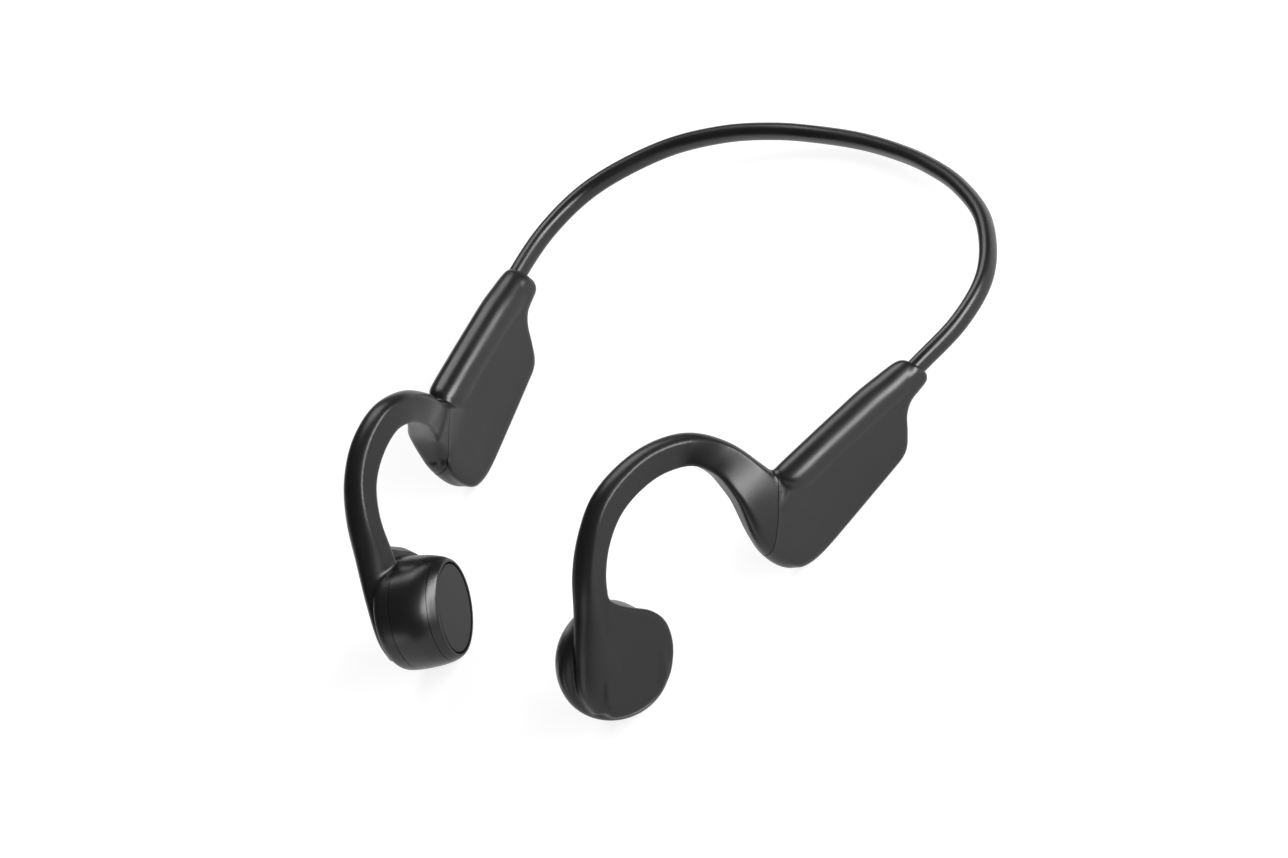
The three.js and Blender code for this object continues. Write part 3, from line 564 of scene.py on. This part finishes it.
def pod_cavity():
    """The room inside the pod, a wall's thickness smaller than its slab."""
    bm = bmesh.new()
    loops = []
    stations = [row for row in POD_STATIONS if CAVITY_ENDS[0] < row[0] < CAVITY_ENDS[1]]
    for y, low, high, half in through(stations, 4):
        roof = CAVITY_ROOF if y < CAVITY_STEP_Y else WALL + 0.5
        section = slab_section(max(low + WALL, WALL), high - roof, half - WALL - CHEEK_INSET, CAVITY_CORNER)
        loops.append(add_ring(bm, Vector((pod_middle(y), y, 0)), X, Z, section))
    skin(bm, loops)
    return solid(bm)


def pod_axes(bm):
    """Moves a shape from the pod's own axes, across, along and up, into the left arm's."""
    turn = Matrix.Rotation(-math.atan(POD_TOE_OUT), 3, "Z")
    bmesh.ops.rotate(bm, verts=bm.verts, cent=(0, 0, 0), matrix=turn)
    bmesh.ops.translate(bm, verts=bm.verts, vec=(POD_MIDDLE_X, 0, 0))
    return bm


def scoop_axes(bm):
    """Moves a shape from the socket's axes, across, up the slope and outwards, into the pod's own axes."""
    up_slope = Vector((0, math.cos(SOCKET_ANGLE), math.sin(SOCKET_ANGLE)))
    outward = Vector((0, math.sin(SOCKET_ANGLE), -math.cos(SOCKET_ANGLE)))
    place = Matrix((-X, up_slope, outward)).transposed().to_4x4()
    place.translation = (0, *SOCKET_PLACE)
    bmesh.ops.transform(bm, verts=bm.verts, matrix=place)
    return bm


def upright(place, rows, segments=32):
    """A stack of ovals standing in the pod: rows of height, half width across and half length along."""
    bm = bmesh.new()
    loops = []
    for z, across, along in rows:
        outline = oval(across, along, segments, 3.2 if along > across else 2)
        loops.append(add_ring(bm, Vector((0, place, z)), X, Y, outline))
    skin(bm, loops)
    return pod_axes(bm)


def cover_block(gap):
    """The room of the underside cover, grown by a gap."""
    return block((POD_ROOM[0], COVER_FRONT_Y - gap, -5), (POD_ROOM[1], 0, COVER_TOP + gap))


def pod_shell(arm):
    """The arm's skin behind and below the seam, hollow and open underneath."""
    shell = cut(copy_of(arm), block_above_seam(-GAP / 2), pod_cavity())
    return cut(shell, cover_block(GAP))


def underside_cover(arm):
    return keep_inside(copy_of(arm), cover_block(0))


def ear_hook(arm):
    """The arm's skin in front of the seam, with room for the transducer."""
    hook = keep_inside(copy_of(arm), block_above_seam(GAP / 2))
    case_room = barrel_solid(barrel_rows(CASE_BACK - GAP, -0.2, 0.12))
    return cut(hook, case_room, motor_bore(MOTOR_BORE_HOOK, BORE_CLEAR))


def transducer_case():
    return cut(barrel_solid(barrel_rows(CASE_BACK, CASE_FRONT)), motor_bore(-20, BORE_CLEAR))


def transducer_bezel():
    """A ring round the pad, with a rolled inner edge."""
    width, height = PAD_HALF_WIDTH + PAD_GAP, PAD_HALF_HEIGHT + PAD_GAP
    inner = [
        (0, width + 0.2, height + 0.2), (-0.06, width + 0.07, height + 0.07), (-0.25, width, height),
        (BEZEL_BACK, width, height),
    ]
    bm = bmesh.new()
    rows = barrel_rows(BEZEL_BACK, -0.02) + inner
    skin(bm, barrel_rings(bm, rows), closed=True)
    return solid(bm)


def contact_pad():
    """A flat pad with a softly rounded edge, from rows of depth and inset."""
    edge = [(-PAD_THICKNESS, 0.05), (-0.5, 0), (-0.25, 0.04), (-0.1, 0.15), (-0.02, 0.35), (0.0, 0.7)]
    return barrel_solid([(depth, PAD_HALF_WIDTH - inset, PAD_HALF_HEIGHT - inset) for depth, inset in edge])


# ---------------------------------------------------------------- controls of the right pod
def control_holes():
    """Cutters for the holes in the right cover: place, half width and half length."""
    key_hole = (KEY_HALF_WIDTH + KEY_CLEARANCE, KEY_HALF_LENGTH + KEY_CLEARANCE)
    holes = [(place, *key_hole) for _, place in KEY_PLACES]
    holes.append((LIGHT_PLACE, LIGHT_RADIUS, LIGHT_RADIUS))
    holes.append((MICROPHONE_PLACE, MICROPHONE_RADIUS, MICROPHONE_RADIUS))
    return [
        solid(upright(place, [(end, half_width, half_length) for end in HOLE_ENDS]))
        for place, half_width, half_length in holes
    ]


def key(place):
    """A crowned key with a wide lip behind the cover."""
    rows = [
        (KEY_RECESS, 0.5 * KEY_HALF_WIDTH, 0.6 * KEY_HALF_LENGTH),
        (KEY_RECESS + 0.03, 0.8 * KEY_HALF_WIDTH, 0.85 * KEY_HALF_LENGTH),
        (KEY_RECESS + 0.12, KEY_HALF_WIDTH - 0.12, KEY_HALF_LENGTH - 0.12),
        (KEY_RECESS + 0.35, KEY_HALF_WIDTH, KEY_HALF_LENGTH),
        (KEY_LIP_BASE, KEY_HALF_WIDTH, KEY_HALF_LENGTH),
        (KEY_LIP_BASE + 0.01, KEY_HALF_WIDTH + KEY_LIP, KEY_HALF_LENGTH + KEY_LIP),
        (KEY_TOP, KEY_HALF_WIDTH + KEY_LIP, KEY_HALF_LENGTH + KEY_LIP),
    ]
    return solid(upright(place, rows, 40))


def key_marks(name, place):
    """Raised marks that a finger can feel: a bar, a cross or a dot."""
    low, high = KEY_RECESS - 0.12, KEY_RECESS + 0.3
    bars = {"power": [(0.9, 0.9)], "volume_up": [(0.4, 1.8), (1.8, 0.4)], "volume_down": [(0.4, 1.8)]}[name]
    marks = []
    for width, length in bars:
        bm = rounded_slab(width, length, 0.45 * min(width, length), low, high)
        bmesh.ops.translate(bm, verts=bm.verts, vec=(0, place, 0))
        marks.append(solid(pod_axes(bm)))
    return marks


def scoop_cuts():
    """Cutters for the flap's recess and for the way into the socket."""
    recess_size = (FLAP_WIDTH + SOCKET_CLEARANCE, FLAP_LENGTH + SOCKET_CLEARANCE)
    way_size = (SOCKET_WIDTH + SOCKET_CLEARANCE, SOCKET_LENGTH + SOCKET_CLEARANCE)
    recess = rounded_slab(*recess_size, 0.6, -FLAP_THICKNESS - GAP, 6)
    way = rounded_slab(*way_size, 1.7, -8.6, 2)
    return [solid(pod_axes(scoop_axes(bm))) for bm in (recess, way)]


def socket_flap():
    """A soft flap with rounded edges and a small lip to lift it by."""
    flap = solid(pod_axes(scoop_axes(rounded_slab(FLAP_WIDTH, FLAP_LENGTH, 0.5, -FLAP_THICKNESS, 0, 0.25))))
    lip = rounded_slab(2.6, 0.9, 0.4, -0.2, 0.35, 0.15)
    bmesh.ops.translate(lip, verts=lip.verts, vec=(0, -FLAP_LENGTH / 2 + 0.9, 0))
    lip = solid(pod_axes(scoop_axes(lip)))
    combine(flap, lip, "UNION")
    bpy.data.objects.remove(lip)
    return flap


def socket_tongue():
    return solid(pod_axes(scoop_axes(rounded_slab(0.7, 6.6, 0.3, -7.4, -2.4))))


# ---------------------------------------------------------------- finishes
def new_finish(name):
    material = bpy.data.materials.new(name)
    material.use_nodes = True
    nodes = material.node_tree.nodes
    return material, nodes, material.node_tree.links, nodes["Principled BSDF"]


def moulded(name, colour, roughness, grain, depth, spread=0.05, shade=0.12, specular=0.5, metallic=0.0):
    """A moulded or machined surface: a fine grain in the surface, and slow changes of tone and sheen."""
    material, nodes, links, shader = new_finish(name)
    place = nodes.new("ShaderNodeTexCoord")
    slow = nodes.new("ShaderNodeTexNoise")
    slow.inputs["Scale"].default_value = 60
    slow.inputs["Detail"].default_value = 4
    links.new(place.outputs["Object"], slow.inputs["Vector"])
    tone = nodes.new("ShaderNodeValToRGB")
    tone.color_ramp.elements[0].position = 0.3
    tone.color_ramp.elements[1].position = 0.7
    tone.color_ramp.elements[0].color = (*[c * (1 - shade) for c in colour], 1)
    tone.color_ramp.elements[1].color = (*[c * (1 + shade) for c in colour], 1)
    links.new(slow.outputs["Fac"], tone.inputs["Fac"])
    links.new(tone.outputs["Color"], shader.inputs["Base Color"])
    sheen = nodes.new("ShaderNodeMapRange")
    sheen.inputs["From Min"].default_value = 0.3
    sheen.inputs["From Max"].default_value = 0.7
    sheen.inputs["To Min"].default_value = roughness - spread
    sheen.inputs["To Max"].default_value = roughness + spread
    links.new(slow.outputs["Fac"], sheen.inputs["Value"])
    links.new(sheen.outputs["Result"], shader.inputs["Roughness"])
    fine = nodes.new("ShaderNodeTexNoise")
    fine.inputs["Scale"].default_value = grain
    fine.inputs["Detail"].default_value = 3
    links.new(place.outputs["Object"], fine.inputs["Vector"])
    bump = nodes.new("ShaderNodeBump")
    bump.inputs["Strength"].default_value = 0.35
    bump.inputs["Distance"].default_value = depth * MM
    links.new(fine.outputs["Fac"], bump.inputs["Height"])
    links.new(bump.outputs["Normal"], shader.inputs["Normal"])
    shader.inputs["Metallic"].default_value = metallic
    shader.inputs["Specular IOR Level"].default_value = specular
    return material


SATIN = moulded("satin black housing", (0.0085, 0.0085, 0.0092), 0.33, 5200, 0.012)
SKIN = moulded("soft black silicone skin", (0.0075, 0.0075, 0.008), 0.33, 6400, 0.012, specular=0.42)
GLOSS = moulded("gloss black case", (0.006, 0.006, 0.0065), 0.3, 900, 0.002, spread=0.03)
PAD = moulded("matt contact pad", (0.016, 0.016, 0.017), 0.6, 4200, 0.03, specular=0.35)
BAND = moulded("black band silicone", (0.0075, 0.0075, 0.008), 0.32, 6400, 0.012)
METALS = {
    "spring_wire": moulded("nickel titanium wire", (0.55, 0.53, 0.48), 0.3, 3000, 0.004, metallic=1),
    "steel": moulded("pressed steel", (0.56, 0.57, 0.58), 0.34, 2600, 0.006, metallic=1),
    "magnet": moulded("nickel plated magnet", (0.42, 0.43, 0.45), 0.22, 1800, 0.003, metallic=1),
    "copper": moulded("wound copper", (0.62, 0.27, 0.13), 0.36, 5200, 0.02, metallic=1),
    "bare_metal": moulded("bright foil", (0.68, 0.69, 0.71), 0.38, 1500, 0.01, metallic=1),
}
OTHERS = {
    "lead": moulded("lead insulation", (0.07, 0.04, 0.03), 0.5, 4000, 0.01),
    "circuit_board": moulded("circuit board", (0.012, 0.09, 0.04), 0.45, 3500, 0.01),
    "chip": moulded("chip plastic", (0.02, 0.02, 0.022), 0.5, 4500, 0.01),
    "light_guide": moulded("light guide", (0.72, 0.74, 0.76), 0.25, 1500, 0.002),
    "silicone_skin": SKIN,
    "satin_housing": SATIN,
    "gloss_housing": GLOSS,
    "pad_skin": PAD,
}


def finish_nodes():
    """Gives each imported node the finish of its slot."""
    finishes = {**METALS, **OTHERS}
    for row in frame["record"]["subparts"]:
        for place in frame["nodes"][row["node"]].material_slots:
            place.material = finishes[row["material_slot"]]


# ---------------------------------------------------------------- pieces
def finished(name, obj, finish, side="left", sharp=40):
    """A named copy of a shape in the frame, on the left side or mirrored on to the right."""
    mesh = obj.data.copy()
    mesh.name = name
    if side == "right":
        bm = bmesh.new()
        bm.from_mesh(mesh)
        bmesh.ops.scale(bm, verts=bm.verts, vec=(-1, 1, 1))
        bmesh.ops.reverse_faces(bm, faces=bm.faces)
        bm.to_mesh(mesh)
        bm.free()
    mesh.transform(TO_FRAME)
    mesh.materials.clear()
    mesh.materials.append(finish)
    mesh.polygons.foreach_set("use_smooth", [True] * len(mesh.polygons))
    mesh.set_sharp_from_angle(angle=math.radians(sharp))
    piece = link(mesh, name)
    return piece


def make_band():
    """The band in two halves, the left one and its mirror on the right."""
    half = band_half()
    run = through(BAND_POINTS, BAND_STEPS)
    nearest = min(range(1, len(run) - 1), key=lambda i: (Vector(run[i]) - HINGE).length)
    back = (Vector(run[nearest + 1]) - Vector(run[nearest - 1])).normalized() * BEND_HALF
    for side, sign in (("left", 1), ("right", -1)):
        piece = finished(f"{side}_half_band", half, BAND, side)
        start, end = [TO_FRAME @ point for point in (HINGE + back, HINGE - back)]
        start.x *= sign
        end.x *= sign
        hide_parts("band_back_sleeve", f"{side}_band_sleeve")
        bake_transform(piece)
    bpy.data.objects.remove(half)


def make_arms():
    """Pods, covers, hooks and transducers, and the wires and leads inside the hooks."""
    transducer = {
        ("transducer_barrel", "transducer_case"): (transducer_case(), GLOSS, "gloss_housing"),
        ("transducer_rim", "transducer_bezel"): (transducer_bezel(), GLOSS, "gloss_housing"),
        ("skin_pad", "contact_pad"): (contact_pad(), PAD, "pad_skin"),
    }
    for side, sway in (("left", 1), ("right", -1)):
        arm = arm_skin(sway)
        shell, cover = pod_shell(arm), underside_cover(arm)
        if side == "right":
            cut(shell, *scoop_cuts())
            cut(cover, *control_holes())
        spine, lead = hook_core(sway, -HOOK_WIRE_OFFSET), hook_core(sway, HOOK_WIRE_OFFSET)
        housings = {
            ("pod", "pod_shell"): (shell, SATIN, "satin_housing"),
            ("pod_cover", "underside_cover"): (cover, SATIN, "satin_housing"),
            ("hook", "ear_hook"): (ear_hook(arm), SKIN, "silicone_skin"),
            ("spine_wire", "hook_wire"): (spine, METALS["spring_wire"], "spring_wire"),
            ("audio_lead", "hook_lead"): (lead, OTHERS["lead"], "lead"),
        }
        for (name, node), (shape, finish, slot) in {**housings, **transducer}.items():
            piece = finished(f"{side}_{name}", shape, finish, side)
            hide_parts(f"{side}_{node}")
            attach(piece, f"{side}_diaphragm" if node == "contact_pad" else f"{side}_arm")
        for shape in [arm] + [row[0] for row in housings.values()]:
            bpy.data.objects.remove(shape)
    for shape, _, _ in transducer.values():
        bpy.data.objects.remove(shape)


def make_controls():
    """The keys and the charging socket's flap and tongue, all on the right pod."""
    for name, place in KEY_PLACES:
        shape = key(place)
        for mark in key_marks(name, place):
            combine(shape, mark, "UNION")
            bpy.data.objects.remove(mark)
        piece = finished(f"{name}_button", shape, SATIN, "right", 30)
        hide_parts(f"{name}_key")
        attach(piece, f"{name}_key_body")
        bpy.data.objects.remove(shape)
    flap = socket_flap()
    piece = finished("charging_flap", flap, SKIN, "right", 30)
    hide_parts("socket_flap")
    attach(piece, "socket_flap_body")
    bpy.data.objects.remove(flap)
    tongue = socket_tongue()
    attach(finished("socket_tongue", tongue, OTHERS["chip"], "right", 30), "right_arm")
    bpy.data.objects.remove(tongue)


# ---------------------------------------------------------------- stage
CAMERA_AZIMUTH = math.radians(72.985)
CAMERA_ELEVATION = math.radians(34.69)
CAMERA_ROLL = math.radians(-48.2)
CAMERA_DISTANCE = 4.890
CAMERA_LENS = 559.0
CAMERA_AIM_HEIGHT = 0.0016
FRAMING = Vector((-0.02447, -0.02037))  # metres right and up, from the design's zero to the picture's middle


def make_camera():
    flat = Vector((math.sin(CAMERA_AZIMUTH), -math.cos(CAMERA_AZIMUTH), 0))
    back = flat * math.cos(CAMERA_ELEVATION) + Z * math.sin(CAMERA_ELEVATION)
    level = (-back).cross(Z).normalized()
    raised = level.cross(-back)
    right = level * math.cos(CAMERA_ROLL) + raised * math.sin(CAMERA_ROLL)
    up = raised * math.cos(CAMERA_ROLL) - level * math.sin(CAMERA_ROLL)
    data = bpy.data.cameras.new("camera")
    data.lens = CAMERA_LENS
    data.sensor_width = 36
    data.clip_end = 50
    camera = bpy.data.objects.new("camera", data)
    bpy.context.scene.collection.objects.link(camera)
    zero = Vector((0, BACK_SHIFT * MM, CAMERA_AIM_HEIGHT))
    place = Matrix((right, up, back)).transposed().to_4x4()
    place.translation = zero + right * FRAMING.x + up * FRAMING.y + back * CAMERA_DISTANCE
    camera.matrix_world = place
    bpy.context.scene.camera = camera


FLOOR_SEEN = 0.82  # brightness where the floor or the room is seen itself
WALL_SEEN = 0.9
FLOOR_REFLECTED = 0.66  # and where it only lights the set
WALL_REFLECTED = 0.08
LIGHT_AIM_HEIGHT = 0.02
LIGHT_DISTANCE = 1.2
SOFTBOXES = [  # name, direction, width, height, power
    ("key", (0.847, 0.342, 0.407), 1.4, 0.45, 27), ("back", (-0.45, 0.5, 0.74), 0.7, 0.7, 6),
    ("front", (0.03, -0.99, 0.135), 0.5, 0.3, 1),
]


def softbox(name, towards, width, height, power):
    """A rectangular light in one direction from the set, facing it."""
    data = bpy.data.lights.new(name, "AREA")
    data.shape = "RECTANGLE"
    data.size = width
    data.size_y = height
    data.energy = power
    light = bpy.data.objects.new(name, data)
    bpy.context.scene.collection.objects.link(light)
    direction = Vector(towards).normalized()
    light.location = direction * LIGHT_DISTANCE + Vector((0, 0, LIGHT_AIM_HEIGHT))
    light.rotation_euler = direction.to_track_quat("Z", "Y").to_euler()
    light.visible_camera = False


def glow(nodes, links, seen, reflected):
    """One brightness where a surface is seen itself, and another where it only lights the set."""
    path = nodes.new("ShaderNodeLightPath")
    strength = nodes.new("ShaderNodeMapRange")
    strength.inputs["To Min"].default_value = reflected
    strength.inputs["To Max"].default_value = seen
    links.new(path.outputs["Is Camera Ray"], strength.inputs["Value"])
    return strength.outputs["Result"]


def make_floor():
    bm = bmesh.new()
    bmesh.ops.create_grid(bm, x_segments=8, y_segments=8, size=6)
    mesh = bpy.data.meshes.new("floor")
    bm.to_mesh(mesh)
    bm.free()
    floor = link(mesh, "floor")
    material, nodes, links, shader = new_finish("pale floor")
    shader.inputs["Base Color"].default_value = (0.35, 0.35, 0.355, 1)
    shader.inputs["Roughness"].default_value = 0.8
    shader.inputs["Specular IOR Level"].default_value = 0
    shader.inputs["Emission Color"].default_value = (1, 1, 1, 1)
    links.new(glow(nodes, links, FLOOR_SEEN, FLOOR_REFLECTED), shader.inputs["Emission Strength"])
    floor.data.materials.append(material)


def make_room():
    world = bpy.data.worlds.new("studio")
    bpy.context.scene.world = world
    world.use_nodes = True
    nodes, links = world.node_tree.nodes, world.node_tree.links
    nodes["Background"].inputs["Color"].default_value = (1, 1, 1, 1)
    links.new(glow(nodes, links, WALL_SEEN, WALL_REFLECTED), nodes["Background"].inputs["Strength"])
    for row in SOFTBOXES:
        softbox(*row)
    bpy.context.scene.view_settings.view_transform = "Standard"


make_camera()
make_floor()
make_room()
make_band()
make_arms()
make_controls()
finish_nodes()
